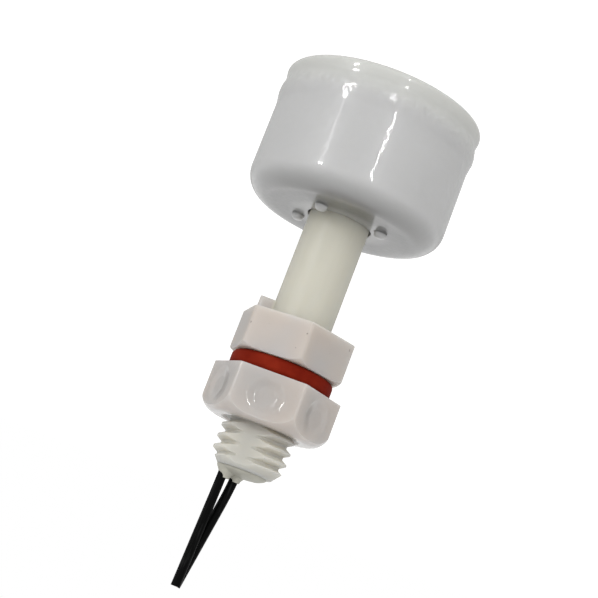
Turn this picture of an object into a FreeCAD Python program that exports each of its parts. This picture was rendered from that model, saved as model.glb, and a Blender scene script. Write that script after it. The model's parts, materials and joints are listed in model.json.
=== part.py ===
"""Float level switch: a threaded plastic stem with a sliding ring float.

Units are millimetres.  The origin is the centre of the flange's seal face and
+Z points out of the tank, along the thread and towards the two leads.  The
stem hangs down into the liquid, and the float rests on the retaining clip.
"""
import FreeCAD, Part
import math
import os

V = FreeCAD.Vector
UP = V(0, 0, 1)

# ---- Stem moulding: thread, flange, lug and closed tube --------------------
THREAD_MAJOR_R = 4.92
THREAD_PITCH = 1.5
THREAD_DEPTH = 0.80
THREAD_CREST_WIDTH = 0.26
THREAD_FLANK_DEG = 30.0
THREAD_START_DEG = 180.0       # where a crest crosses the seal face's level
THREAD_SINK = 0.1              # how far a ridge's base is buried in its carrier
SHANK_LENGTH = 14.6
SHANK_END_DROP = 1.25          # radius lost at the thread's end chamfer
SHANK_END_LENGTH = 1.5         # length of that chamfer
THREAD_FLAT_DEPTH = 0.86       # from the thread's crest to the flats that interrupt it
THREAD_FLAT_TURN_DEG = -76.0
FLANGE_FLATS = 14.2
FLANGE_THICKNESS = 5.55
FLANGE_CORNER_R = 0.7
FLANGE_SEAL_EDGE_R = 1.1       # rounding that turning leaves on each corner, gasket side
FLANGE_STEM_EDGE = 0.2         # small chamfer of the corners, stem side
FLANGE_TURN_DEG = 19.0
LUG_REACH = 2.0                # from the stem's wall outwards
LUG_WIDTH = 2.6
LUG_HEIGHT = 2.2
LUG_CORNER_R = 0.5
STEM_R = 4.2
STEM_LENGTH = 35.65            # from the flange to the tip
STEM_TIP_CHAMFER = 0.6
STEM_ROOT_FILLET = 0.5
WELL_WALL = 0.9                # between the potting well and the thread's root
WELL_DEPTH = 13.6
WELL_CONE_LENGTH = 1.0
BORE_FLOOR = 2.6               # solid left between the bore and the clip groove

# ---- Retaining clip and its groove ------------------------------------------
CLIP_THICKNESS = 0.7
CLIP_REACH = 1.95              # beyond the stem's wall
CLIP_BAND = 1.25               # width of the clip's outer arc
CLIP_PRONG_WIDTH = 2.2
CLIP_MOUTH_DEG = 76.0
CLIP_PRONG_DEG = 118.0         # side prongs, measured from the middle prong
CLIP_TIP_LENGTH = 1.35         # stem left below the groove
GROOVE_DEPTH = 1.2
GROOVE_SIDE_GAP = 0.05
CLIP_SEAT_GAP = 0.02

# ---- Gasket and lock nut -----------------------------------------------------
GASKET_R = 7.0
GASKET_THICKNESS = 2.2
GASKET_EDGE_R = 0.7
GASKET_BORE_GAP = 0.12
NUT_FLATS = 15.3
NUT_HEIGHT = 6.5
NUT_CORNER_R = 0.45
NUT_DOME_R = 2.5
NUT_TURN_DEG = 6.5
NUT_MOUTH_CHAMFER = 0.4
NUT_DISH_DEPTH = 0.12          # shallow round dish that each flat sinks to
NUT_DISH_R = 2.3
NUT_DISH_HEIGHT = 2.9          # dish centre, above the nut's seal side
THREAD_FLANK_GAP = 0.12
THREAD_MAJOR_GAP = 0.14
THREAD_ROOT_GAP = 0.16

# ---- Float: cup, welded lid and ring magnet ----------------------------------
FLOAT_R = 13.75
FLOAT_HEIGHT = 18.1
FLOAT_WALL = 1.3
FLOAT_FACE = 1.5               # thickness of the face towards the flange
FLOAT_SLEEVE_WALL = 1.2
FLOAT_BORE_GAP = 0.45
FLOAT_SHOULDER_R = 3.2
FLOAT_BORE_CHAMFER = 0.3
FLOAT_REST_GAP = 0.1           # left between lid and clip when the float is down
LID_THICKNESS = 2.0
LID_RIM = 0.15                 # how far the lid stands out past the cup's wall
LID_EDGE_R = 0.8
LID_SPIGOT_LENGTH = 1.2
LID_SPIGOT_WALL = 0.9
LID_FIT_GAP = 0.03
WELD_NOTCH_DEPTH = 0.22
BEAD_RISE = 0.37
BEAD_TO_NOTCH = 1.7
BEAD_RUN_OUT = 2.3
NUB_COUNT = 4
NUB_R = 0.8
NUB_HEIGHT = 0.8
NUB_PITCH_R = 6.35
NUB_TURN_DEG = 28.0
NUB_EDGE_R = 0.3
MAGNET_WALL = 3.6
MAGNET_LENGTH = 5.0
MAGNET_SEAT_GAP = 0.1
MAGNET_CHAMFER = 0.3

# ---- Reed switch and its joints ----------------------------------------------
REED_R = 1.1
REED_LENGTH = 14.0
REED_SEAL_LENGTH = 1.7
REED_CAVITY_R = 0.8
REED_END_R = 0.6
WIRE_R = 0.25
BLADE_WIDTH = 1.05
BLADE_THICKNESS = 0.2
BLADE_GAP = 0.1
BLADE_OVERLAP = 1.5
SLEEVE_WALL = 0.28
SLEEVE_LENGTH = 11.5
SOLDER_R = 0.74
SOLDER_LENGTH = 1.7
SHRINK_WALL = 0.18
SHRINK_LENGTH = 2.6
CORE_BEND_DROP = 1.4           # height over which the long core crosses the bore
ASSEMBLY_GAP = 0.01            # between inner pieces that touch
INNER_GAP = 0.15               # between loose inner pieces and the bore

# ---- Leads and potting ---------------------------------------------------------
LEAD_R = 0.625
BEND_SHARE = 0.45              # part of the shorter run that a bend takes up
CORE_R = 0.33
LEAD_REACH = 15.3              # lead beyond the potting's crown
LEAD_EDGE_GAP = 0.15           # potting left between a lead and the well
FRONT_EXIT_Y = -0.3
REAR_EXIT_X = 0.66
REAR_EXIT_Y = 0.9
LEAD_END_X = 2.9
LEAD_END_GAP = 0.07
POTTING_CROWN = 1.2
POTTING_DEPTH_IN_BORE = 3.0
POTTING_COLLAR_R = 0.55        # how far the collar at each lead spreads
POTTING_COLLAR_HEIGHT = 0.5
POTTING_COLLAR_LIP = 0.03      # wall left at a collar's thin end

# ---- Derived sizes ---------------------------------------------------------------
THREAD_ROOT_R = THREAD_MAJOR_R - THREAD_DEPTH
THREAD_FLAT_R = THREAD_MAJOR_R - THREAD_FLAT_DEPTH
THREAD_SLOPE = math.tan(math.radians(THREAD_FLANK_DEG))
WELL_R = THREAD_ROOT_R - WELL_WALL
FLANGE_LOW_Z = -FLANGE_THICKNESS
STEM_TIP_Z = FLANGE_LOW_Z - STEM_LENGTH
SLEEVE_R = REED_R + ASSEMBLY_GAP + SLEEVE_WALL
BORE_R = SLEEVE_R + LEAD_R + 1.5 * INNER_GAP
WELL_LOW_Z = SHANK_LENGTH - WELL_DEPTH

GROOVE_R = STEM_R - GROOVE_DEPTH
GROOVE_LOW_Z = STEM_TIP_Z + CLIP_TIP_LENGTH
GROOVE_HIGH_Z = GROOVE_LOW_Z + CLIP_THICKNESS + 2 * GROOVE_SIDE_GAP
CLIP_LOW_Z = GROOVE_LOW_Z + GROOVE_SIDE_GAP
CLIP_HIGH_Z = CLIP_LOW_Z + CLIP_THICKNESS
CLIP_R = STEM_R + CLIP_REACH
BORE_LOW_Z = GROOVE_HIGH_Z + BORE_FLOOR

GASKET_BORE_R = THREAD_MAJOR_R + GASKET_BORE_GAP
NUT_LOW_Z = GASKET_THICKNESS
NUT_HIGH_Z = NUT_LOW_Z + NUT_HEIGHT
NUT_HEX_DEG = NUT_TURN_DEG - THREAD_START_DEG
NUT_MAJOR_R = THREAD_MAJOR_R + THREAD_MAJOR_GAP
NUT_MINOR_R = THREAD_ROOT_R + THREAD_ROOT_GAP

FLOAT_BORE_R = STEM_R + FLOAT_BORE_GAP
FLOAT_SLEEVE_R = FLOAT_BORE_R + FLOAT_SLEEVE_WALL
FLOAT_LOW_Z = CLIP_HIGH_Z + FLOAT_REST_GAP
FLOAT_HIGH_Z = FLOAT_LOW_Z + FLOAT_HEIGHT
FLOAT_CAVITY_R = FLOAT_R - FLOAT_WALL
LID_R = FLOAT_R + LID_RIM
WELD_Z = FLOAT_LOW_Z + LID_THICKNESS
MAGNET_BORE_R = FLOAT_SLEEVE_R + MAGNET_SEAT_GAP
MAGNET_R = MAGNET_BORE_R + MAGNET_WALL
MAGNET_HIGH_Z = FLOAT_HIGH_Z - FLOAT_FACE

REED_X = -(BORE_R - SLEEVE_R - INNER_GAP)
LONG_LEAD_X = BORE_R - LEAD_R - INNER_GAP
JOINT_WIRE_PITCH = WIRE_R + CORE_R + 4 * ASSEMBLY_GAP
JOINT_CORE_X = REED_X + JOINT_WIRE_PITCH
JOINT_X = REED_X + JOINT_WIRE_PITCH / 2
SHRINK_BORE_R = SOLDER_R + ASSEMBLY_GAP
LOWER_SHRINK_Z = BORE_LOW_Z + INNER_GAP
LOWER_WIRE_Z = LOWER_SHRINK_Z + SHRINK_WALL
CORE_BEND_SETBACK = BEND_SHARE * math.hypot(LONG_LEAD_X - JOINT_CORE_X, CORE_BEND_DROP)
CORE_BEND_LOW_Z = LOWER_SHRINK_Z + SHRINK_LENGTH + CORE_BEND_SETBACK + ASSEMBLY_GAP
CORE_BEND_HIGH_Z = CORE_BEND_LOW_Z + CORE_BEND_DROP
LONG_JACKET_FOOT_Z = CORE_BEND_HIGH_Z + CORE_BEND_SETBACK + ASSEMBLY_GAP
REED_LOW_Z = CORE_BEND_HIGH_Z
WIRE_LENGTH = REED_LOW_Z - LOWER_WIRE_Z
REED_HIGH_Z = REED_LOW_Z + REED_LENGTH
REED_MID_Z = (REED_LOW_Z + REED_HIGH_Z) / 2
UPPER_WIRE_Z = REED_HIGH_Z + WIRE_LENGTH
UPPER_SHRINK_Z = UPPER_WIRE_Z + SHRINK_WALL - SHRINK_LENGTH
SHORT_JACKET_FOOT_Z = UPPER_SHRINK_Z + SHRINK_LENGTH + ASSEMBLY_GAP

FRONT_EXIT_X = WELL_R - LEAD_R - LEAD_EDGE_GAP
CROWN_Z = SHANK_LENGTH + POTTING_CROWN
LEAD_END_Z = CROWN_Z + LEAD_REACH
LEAD_END_Y = LEAD_R + LEAD_END_GAP / 2


# ---- Shape helpers ---------------------------------------------------------------
def turned(points):
    """Solid of revolution about Z from corner points (radius, z).

    A point with a third value is the middle of an arc between its neighbours.
    """
    edges = []
    loop = points + points[:1]
    index = 0
    while index < len(loop) - 1:
        start = V(loop[index][0], 0, loop[index][1])
        step = 2 if len(loop[index + 1]) == 3 else 1
        end = V(loop[index + step][0], 0, loop[index + step][1])
        if step == 2:
            middle = V(loop[index + 1][0], 0, loop[index + 1][1])
            edges.append(Part.Arc(start, middle, end).toShape())
        else:
            edges.append(Part.makeLine(start, end))
        index += step
    return Part.Face(Part.Wire(edges)).revolve(V(0, 0, 0), UP, 360)


def arc_middle(centre_r, centre_z, radius, angle_deg):
    """Middle point of an arc, marked as such for turned()."""
    angle = math.radians(angle_deg)
    return (centre_r + radius * math.cos(angle), centre_z + radius * math.sin(angle), "arc")


def ring(inner_r, outer_r, low_z, high_z):
    """Plain tube or washer about Z."""
    return turned([(inner_r, low_z), (outer_r, low_z), (outer_r, high_z), (inner_r, high_z)])


def hexagon(flats, corner_r, turn_deg, low_z, height):
    """Hexagonal prism with rounded upright corners."""
    apothem = flats / 2
    vertex_r = apothem / math.cos(math.pi / 6)
    setback = corner_r * math.tan(math.pi / 6)
    dip = corner_r / math.cos(math.pi / 6) - corner_r
    edges = []
    previous_end = None
    first_start = None
    for side in range(6):
        angle = math.radians(turn_deg + 60 * side)
        outward = V(math.cos(angle), math.sin(angle), 0)
        across = V(-math.sin(angle), math.cos(angle), 0)
        vertex = outward * vertex_r + V(0, 0, low_z)
        inward_step = -outward * (setback / 2)
        side_step = across * (setback * math.cos(math.pi / 6))
        start = vertex + inward_step - side_step
        end = vertex + inward_step + side_step
        middle = vertex - outward * dip
        if previous_end is None:
            first_start = start
        else:
            edges.append(Part.makeLine(previous_end, start))
        edges.append(Part.Arc(start, middle, end).toShape())
        previous_end = end
    edges.append(Part.makeLine(previous_end, first_start))
    return Part.Face(Part.Wire(edges)).extrude(V(0, 0, height))


def thread_turns(base_r, base_width, crest_r, crest_width, low_z, high_z):
    """Single right-handed turns of a trapezoid ridge, stacked from low_z past high_z."""
    helix = Part.makeHelix(THREAD_PITCH, THREAD_PITCH, base_r)
    profile = Part.makePolygon([
        V(base_r, 0, -base_width / 2),
        V(crest_r, 0, -crest_width / 2),
        V(crest_r, 0, crest_width / 2),
        V(base_r, 0, base_width / 2),
        V(base_r, 0, -base_width / 2),
    ])
    one_turn = Part.Wire(helix).makePipeShell([profile], True, True)
    turns = []
    for index in range(math.ceil((high_z - low_z) / THREAD_PITCH) + 1):
        turn = one_turn.copy()
        turn.translate(V(0, 0, low_z + index * THREAD_PITCH))
        turns.append(turn)
    return turns


def external_width(radius):
    """Axial width of the stem's thread ridge at a radius."""
    return THREAD_CREST_WIDTH + 2 * THREAD_SLOPE * (THREAD_MAJOR_R - radius)


def internal_width(radius):
    """Axial width of the nut's thread ridge at a radius."""
    flank = 2 * THREAD_FLANK_GAP / math.cos(math.radians(THREAD_FLANK_DEG))
    return THREAD_PITCH - external_width(radius) - flank


def smooth_route(points):
    """Straight runs joined by tangent arcs through a list of corners."""
    edges = []
    start = points[0]
    for before, corner, after in zip(points, points[1:], points[2:]):
        to_before = before - corner
        to_after = after - corner
        setback = BEND_SHARE * min(to_before.Length, to_after.Length)
        to_before.normalize()
        to_after.normalize()
        turn = math.pi - to_before.getAngle(to_after)
        radius = setback / math.tan(turn / 2)
        bisector = to_before + to_after
        bisector.normalize()
        arc_start = corner + to_before * setback
        arc_end = corner + to_after * setback
        middle = corner + bisector * (radius / math.cos(turn / 2) - radius)
        edges.append(Part.makeLine(start, arc_start))
        edges.append(Part.Arc(arc_start, middle, arc_end).toShape())
        start = arc_end
    edges.append(Part.makeLine(start, points[-1]))
    return edges


def rod_along(route, radius):
    """Round rod along a route: a cylinder for each run, a torus piece for each arc."""
    pieces = []
    for edge in route:
        start = edge.valueAt(edge.FirstParameter)
        direction = edge.tangentAt(edge.FirstParameter)
        disc = Part.Face(Part.Wire(Part.makeCircle(radius, start, direction)))
        if isinstance(edge.Curve, Part.Circle):
            swept = math.degrees(edge.LastParameter - edge.FirstParameter)
            pieces.append(disc.revolve(edge.Curve.Center, edge.Curve.Axis, swept))
        else:
            pieces.append(disc.extrude(edge.valueAt(edge.LastParameter) - start))
    return single(pieces[0].fuse(pieces[1:]))


def tube_along(route, inner_r, outer_r):
    """Round tube along a route."""
    return rod_along(route, outer_r).cut(rod_along(route, inner_r))


def single(shape):
    """The one solid of a boolean's result."""
    return shape.removeSplitter().Solids[0]


# ---- Stem moulding ---------------------------------------------------------------
def thread_flat(angle_deg):
    """Block outside one of the two flats that interrupt the thread."""
    reach = 2 * THREAD_MAJOR_R
    block = Part.makeBox(reach, 2 * reach, SHANK_LENGTH, V(THREAD_FLAT_R, -reach, 0))
    block.rotate(V(0, 0, 0), UP, angle_deg)
    return block


def threaded_shank():
    """Solid shank with its interrupted helical ridge, chamfered at the cable end."""
    low_z = -THREAD_PITCH
    base_r = THREAD_ROOT_R - THREAD_SINK
    shank = Part.makeCylinder(THREAD_ROOT_R, SHANK_LENGTH - low_z, V(0, 0, low_z))
    for turn in thread_turns(base_r, external_width(base_r), THREAD_MAJOR_R,
                             THREAD_CREST_WIDTH, low_z, SHANK_LENGTH):
        shank = shank.fuse(turn)
    envelope_r = THREAD_MAJOR_R + THREAD_SINK
    envelope = turned([
        (0, low_z / 2),
        (envelope_r, low_z / 2),
        (envelope_r, SHANK_LENGTH - SHANK_END_LENGTH),
        (THREAD_MAJOR_R, SHANK_LENGTH - SHANK_END_LENGTH),
        (THREAD_MAJOR_R - SHANK_END_DROP, SHANK_LENGTH),
        (0, SHANK_LENGTH),
    ])
    shank = shank.common(envelope)
    shank.rotate(V(0, 0, 0), UP, THREAD_START_DEG)
    for angle in (THREAD_FLAT_TURN_DEG, THREAD_FLAT_TURN_DEG + 180):
        shank = shank.cut(thread_flat(angle))
    return shank


def flange():
    """Hexagonal flange, turned round at its seal face."""
    prism = hexagon(FLANGE_FLATS, FLANGE_CORNER_R, FLANGE_TURN_DEG, FLANGE_LOW_Z, FLANGE_THICKNESS)
    corner_r = FLANGE_FLATS / 2 / math.cos(math.pi / 6)
    seal_r = corner_r - FLANGE_SEAL_EDGE_R
    envelope = turned([
        (0, FLANGE_LOW_Z),
        (corner_r - FLANGE_STEM_EDGE, FLANGE_LOW_Z),
        (corner_r, FLANGE_LOW_Z + FLANGE_STEM_EDGE),
        (corner_r, -FLANGE_SEAL_EDGE_R),
        arc_middle(seal_r, -FLANGE_SEAL_EDGE_R, FLANGE_SEAL_EDGE_R, 45),
        (seal_r, 0),
        (0, 0),
    ])
    return prism.common(envelope)


def lug():
    """Small standoff lug beside the stem, under the flange."""
    depth = STEM_R / 2
    block = Part.makeBox(STEM_R + LUG_REACH - depth, LUG_WIDTH, LUG_HEIGHT,
                         V(depth, -LUG_WIDTH / 2, FLANGE_LOW_Z - LUG_HEIGHT))
    outer = [edge for edge in block.Edges if edge.CenterOfMass.x > STEM_R + LUG_REACH - LUG_CORNER_R
             and abs(edge.Vertexes[0].Z - edge.Vertexes[1].Z) > LUG_HEIGHT / 2]
    return block.makeFillet(LUG_CORNER_R, outer)


def stem_tube():
    """Solid lower stem with its root fillet, clip groove and chamfered tip."""
    fillet_r = STEM_R + STEM_ROOT_FILLET
    fillet_z = FLANGE_LOW_Z - STEM_ROOT_FILLET
    return turned([
        (0, FLANGE_LOW_Z + STEM_ROOT_FILLET),
        (fillet_r, FLANGE_LOW_Z + STEM_ROOT_FILLET),
        (fillet_r, FLANGE_LOW_Z),
        arc_middle(fillet_r, fillet_z, STEM_ROOT_FILLET, 135),
        (STEM_R, fillet_z),
        (STEM_R, GROOVE_HIGH_Z),
        (GROOVE_R, GROOVE_HIGH_Z),
        (GROOVE_R, GROOVE_LOW_Z),
        (STEM_R, GROOVE_LOW_Z),
        (STEM_R, STEM_TIP_Z + STEM_TIP_CHAMFER),
        (STEM_R - STEM_TIP_CHAMFER, STEM_TIP_Z),
        (0, STEM_TIP_Z),
    ])


def stem_hollow():
    """Blind bore for the reed, opening into the wider potting well."""
    return turned([
        (0, BORE_LOW_Z),
        (BORE_R, BORE_LOW_Z),
        (BORE_R, WELL_LOW_Z - WELL_CONE_LENGTH),
        (WELL_R, WELL_LOW_Z),
        (WELL_R, SHANK_LENGTH + THREAD_PITCH),
        (0, SHANK_LENGTH + THREAD_PITCH),
    ])


def stem_body():
    """The whole stem moulding as one solid."""
    outer = flange().fuse(lug()).fuse(stem_tube()).fuse(threaded_shank())
    return single(outer.cut(stem_hollow()))


# ---- Gasket, nut and clip ---------------------------------------------------------
def sealing_gasket():
    """Flat ring gasket with a rounded outer edge."""
    shoulder_r = GASKET_R - GASKET_EDGE_R
    return turned([
        (GASKET_BORE_R, 0),
        (shoulder_r, 0),
        arc_middle(shoulder_r, GASKET_EDGE_R, GASKET_EDGE_R, -45),
        (GASKET_R, GASKET_EDGE_R),
        (GASKET_R, GASKET_THICKNESS - GASKET_EDGE_R),
        arc_middle(shoulder_r, GASKET_THICKNESS - GASKET_EDGE_R, GASKET_EDGE_R, 45),
        (shoulder_r, GASKET_THICKNESS),
        (GASKET_BORE_R, GASKET_THICKNESS),
    ])


def nut_blank():
    """Hexagon with a sharp seal side and a strongly rounded cable side."""
    prism = hexagon(NUT_FLATS, NUT_CORNER_R, NUT_HEX_DEG, NUT_LOW_Z, NUT_HEIGHT)
    corner_r = NUT_FLATS / 2 / math.cos(math.pi / 6)
    dome_r = corner_r - NUT_DOME_R
    dome = turned([
        (0, NUT_LOW_Z),
        (corner_r, NUT_LOW_Z),
        (corner_r, NUT_HIGH_Z - NUT_DOME_R),
        arc_middle(dome_r, NUT_HIGH_Z - NUT_DOME_R, NUT_DOME_R, 45),
        (dome_r, NUT_HIGH_Z),
        (0, NUT_HIGH_Z),
    ])
    return prism.common(dome)


def nut_dishes():
    """Shallow spherical dishes that sink into the middle of each flat."""
    sphere_r = (NUT_DISH_R ** 2 + NUT_DISH_DEPTH ** 2) / (2 * NUT_DISH_DEPTH)
    centre_r = NUT_FLATS / 2 - NUT_DISH_DEPTH + sphere_r
    dishes = []
    for side in range(6):
        angle = math.radians(NUT_HEX_DEG + 30 + 60 * side)
        centre = V(centre_r * math.cos(angle), centre_r * math.sin(angle), NUT_LOW_Z + NUT_DISH_HEIGHT)
        dishes.append(Part.makeSphere(sphere_r, centre))
    return dishes


def cut_nut_thread(blank):
    """The blank bored out, with the nut's ridge half a pitch off the stem's."""
    base_r = NUT_MAJOR_R + THREAD_SINK
    low_z = NUT_LOW_Z - NUT_LOW_Z % THREAD_PITCH - 1.5 * THREAD_PITCH
    nut = blank.cut(Part.makeCylinder(NUT_MAJOR_R, NUT_HEIGHT, V(0, 0, NUT_LOW_Z)))
    slab = Part.makeCylinder(base_r + THREAD_SINK, NUT_HEIGHT, V(0, 0, NUT_LOW_Z))
    for turn in thread_turns(base_r, internal_width(base_r), NUT_MINOR_R,
                             internal_width(NUT_MINOR_R), low_z, NUT_HIGH_Z):
        nut = nut.fuse(turn.common(slab))
    return nut


def lock_nut():
    """Moulded lock nut with dished flats and chamfered mouths, turned to mesh with the stem."""
    blank = nut_blank()
    for dish in nut_dishes():
        blank = blank.cut(dish)
    mouth_r = NUT_MAJOR_R + NUT_MOUTH_CHAMFER
    cone_length = NUT_MOUTH_CHAMFER + NUT_MAJOR_R - NUT_MINOR_R
    low_mouth = Part.makeCone(mouth_r, NUT_MINOR_R, cone_length, V(0, 0, NUT_LOW_Z))
    high_mouth = Part.makeCone(NUT_MINOR_R, mouth_r, cone_length, V(0, 0, NUT_HIGH_Z - cone_length))
    nut = single(cut_nut_thread(blank).cut(low_mouth).cut(high_mouth))
    nut.rotate(V(0, 0, 0), UP, THREAD_START_DEG)
    return nut


def clip_prong(angle_deg):
    """One inward prong of the clip, reaching the groove's floor."""
    length = CLIP_R - CLIP_BAND / 2
    prong = Part.makeBox(length, CLIP_PRONG_WIDTH, CLIP_THICKNESS,
                         V(0, -CLIP_PRONG_WIDTH / 2, CLIP_LOW_Z))
    prong.rotate(V(0, 0, 0), UP, angle_deg)
    return prong


def clip_mouth():
    """Wedge that opens the clip on the side away from its middle prong."""
    half = math.radians(CLIP_MOUTH_DEG / 2)
    far = 2 * CLIP_R
    corners = [
        V(0, 0, CLIP_LOW_Z),
        V(far * math.sin(-half), -far * math.cos(half), CLIP_LOW_Z),
        V(far * math.sin(half), -far * math.cos(half), CLIP_LOW_Z),
        V(0, 0, CLIP_LOW_Z),
    ]
    return Part.Face(Part.makePolygon(corners)).extrude(V(0, 0, CLIP_THICKNESS))


def retaining_clip():
    """Open spring-steel clip that snaps into the stem's groove."""
    clip = ring(CLIP_R - CLIP_BAND, CLIP_R, CLIP_LOW_Z, CLIP_HIGH_Z)
    for angle in (90, 90 - CLIP_PRONG_DEG, 90 + CLIP_PRONG_DEG):
        clip = clip.fuse(clip_prong(angle))
    seat = Part.makeCylinder(GROOVE_R + CLIP_SEAT_GAP, CLIP_THICKNESS, V(0, 0, CLIP_LOW_Z))
    return single(clip.cut(seat).cut(clip_mouth()))


# ---- Float -------------------------------------------------------------------------
def float_cup_shell():
    """Turned shell of the cup: face, outer wall with weld bead, and sleeve."""
    shoulder = FLOAT_R - FLOAT_SHOULDER_R
    shoulder_z = FLOAT_HIGH_Z - FLOAT_SHOULDER_R
    inner_shoulder = FLOAT_SHOULDER_R - FLOAT_WALL
    cavity_high_z = FLOAT_HIGH_Z - FLOAT_FACE
    bead_z = WELD_Z + BEAD_TO_NOTCH
    bead_r = FLOAT_R + BEAD_RISE
    rise_z = bead_z + BEAD_RUN_OUT
    notch_r = FLOAT_R - WELD_NOTCH_DEPTH
    return turned([
        (FLOAT_BORE_R, WELD_Z),
        (FLOAT_SLEEVE_R, WELD_Z),
        (FLOAT_SLEEVE_R, cavity_high_z),
        (FLOAT_CAVITY_R - inner_shoulder, cavity_high_z),
        arc_middle(FLOAT_CAVITY_R - inner_shoulder, cavity_high_z - inner_shoulder,
                   inner_shoulder, 45),
        (FLOAT_CAVITY_R, cavity_high_z - inner_shoulder),
        (FLOAT_CAVITY_R, WELD_Z),
        (notch_r, WELD_Z),
        (notch_r + 0.8 * (bead_r - notch_r), (WELD_Z + bead_z) / 2, "arc"),
        (bead_r, bead_z),
        (FLOAT_R + 0.45 * BEAD_RISE, (bead_z + rise_z) / 2, "arc"),
        (FLOAT_R, rise_z),
        (FLOAT_R, shoulder_z),
        arc_middle(shoulder, shoulder_z, FLOAT_SHOULDER_R, 45),
        (shoulder, FLOAT_HIGH_Z),
        (FLOAT_BORE_R + FLOAT_BORE_CHAMFER, FLOAT_HIGH_Z),
        (FLOAT_BORE_R, FLOAT_HIGH_Z - FLOAT_BORE_CHAMFER),
    ])


def float_nub(angle_deg):
    """One rounded standoff nub on the face towards the flange."""
    edge_z = FLOAT_HIGH_Z + NUB_HEIGHT - NUB_EDGE_R
    nub = turned([
        (0, FLOAT_HIGH_Z - FLOAT_FACE / 2),
        (NUB_R, FLOAT_HIGH_Z - FLOAT_FACE / 2),
        (NUB_R, edge_z),
        arc_middle(NUB_R - NUB_EDGE_R, edge_z, NUB_EDGE_R, 45),
        (NUB_R - NUB_EDGE_R, FLOAT_HIGH_Z + NUB_HEIGHT),
        (0, FLOAT_HIGH_Z + NUB_HEIGHT),
    ])
    nub.translate(V(NUB_PITCH_R, 0, 0))
    nub.rotate(V(0, 0, 0), UP, angle_deg)
    return nub


def float_cup():
    """Cup shell with its ring of standoff nubs."""
    cup = float_cup_shell()
    for index in range(NUB_COUNT):
        cup = cup.fuse(float_nub(NUB_TURN_DEG + index * 360 / NUB_COUNT))
    return single(cup)


def float_lid():
    """Lid welded on the cup, with a spigot inside the cup's wall."""
    spigot_r = FLOAT_CAVITY_R - LID_FIT_GAP
    spigot_z = WELD_Z + LID_SPIGOT_LENGTH
    edge_r = LID_R - LID_EDGE_R
    return turned([
        (FLOAT_BORE_R + FLOAT_BORE_CHAMFER, FLOAT_LOW_Z),
        (edge_r, FLOAT_LOW_Z),
        arc_middle(edge_r, FLOAT_LOW_Z + LID_EDGE_R, LID_EDGE_R, -45),
        (LID_R, FLOAT_LOW_Z + LID_EDGE_R),
        (FLOAT_R - WELD_NOTCH_DEPTH, WELD_Z),
        (spigot_r, WELD_Z),
        (spigot_r, spigot_z),
        (spigot_r - LID_SPIGOT_WALL, spigot_z),
        (spigot_r - LID_SPIGOT_WALL, WELD_Z),
        (FLOAT_BORE_R, WELD_Z),
        (FLOAT_BORE_R, FLOAT_LOW_Z + FLOAT_BORE_CHAMFER),
    ])


def float_magnet():
    """Ferrite ring seated against the cup's face, around the sleeve."""
    low_z = MAGNET_HIGH_Z - MAGNET_LENGTH
    return turned([
        (MAGNET_BORE_R, low_z),
        (MAGNET_R - MAGNET_CHAMFER, low_z),
        (MAGNET_R, low_z + MAGNET_CHAMFER),
        (MAGNET_R, MAGNET_HIGH_Z - MAGNET_CHAMFER),
        (MAGNET_R - MAGNET_CHAMFER, MAGNET_HIGH_Z),
        (MAGNET_BORE_R, MAGNET_HIGH_Z),
    ])


# ---- Reed switch -------------------------------------------------------------------
def at_reed(shape):
    """A shape made on the Z axis, moved to the reed's axis."""
    shape.translate(V(REED_X, 0, 0))
    return shape


def reed_glass():
    """Sealed glass tube with rounded ends and a hollow middle."""
    wire_hole_r = WIRE_R + ASSEMBLY_GAP
    end_r = REED_R - REED_END_R
    outer = turned([
        (wire_hole_r, REED_LOW_Z),
        (end_r, REED_LOW_Z),
        arc_middle(end_r, REED_LOW_Z + REED_END_R, REED_END_R, -45),
        (REED_R, REED_LOW_Z + REED_END_R),
        (REED_R, REED_HIGH_Z - REED_END_R),
        arc_middle(end_r, REED_HIGH_Z - REED_END_R, REED_END_R, 45),
        (end_r, REED_HIGH_Z),
        (wire_hole_r, REED_HIGH_Z),
    ])
    cavity = Part.makeCylinder(REED_CAVITY_R, REED_LENGTH - 2 * REED_SEAL_LENGTH,
                               V(0, 0, REED_LOW_Z + REED_SEAL_LENGTH))
    return at_reed(single(outer.cut(cavity)))


def reed_blade(is_upper):
    """One nickel-iron reed: a round wire flattened into a blade in the glass."""
    side = 1 if is_upper else -1
    wire_end = UPPER_WIRE_Z if is_upper else LOWER_WIRE_Z
    glass_end = REED_HIGH_Z if is_upper else REED_LOW_Z
    root_z = glass_end - side * REED_SEAL_LENGTH
    tip_z = REED_MID_Z - side * BLADE_OVERLAP / 2
    wire = Part.makeCylinder(WIRE_R, abs(wire_end - root_z), V(0, 0, min(wire_end, root_z)))
    blade_x = side * (BLADE_THICKNESS + BLADE_GAP) / 2
    blade = Part.makeBox(BLADE_THICKNESS, BLADE_WIDTH, abs(root_z - tip_z),
                         V(blade_x - BLADE_THICKNESS / 2, -BLADE_WIDTH / 2, min(root_z, tip_z)))
    shank = Part.makeCylinder(WIRE_R, BLADE_WIDTH, V(0, 0, root_z - (BLADE_WIDTH if is_upper else 0)))
    return at_reed(single(wire.fuse(shank).fuse(blade)))


def reed_cushion():
    """Soft sleeve that keeps the potting's stress off the glass."""
    low_z = REED_MID_Z - SLEEVE_LENGTH / 2
    return at_reed(ring(REED_R + ASSEMBLY_GAP, SLEEVE_R, low_z, low_z + SLEEVE_LENGTH))


def heat_shrink(low_z):
    """Insulating sleeve shrunk over one soldered joint."""
    sleeve = ring(SHRINK_BORE_R, SHRINK_BORE_R + SHRINK_WALL, low_z, low_z + SHRINK_LENGTH)
    sleeve.translate(V(JOINT_X, 0, 0))
    return sleeve


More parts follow.
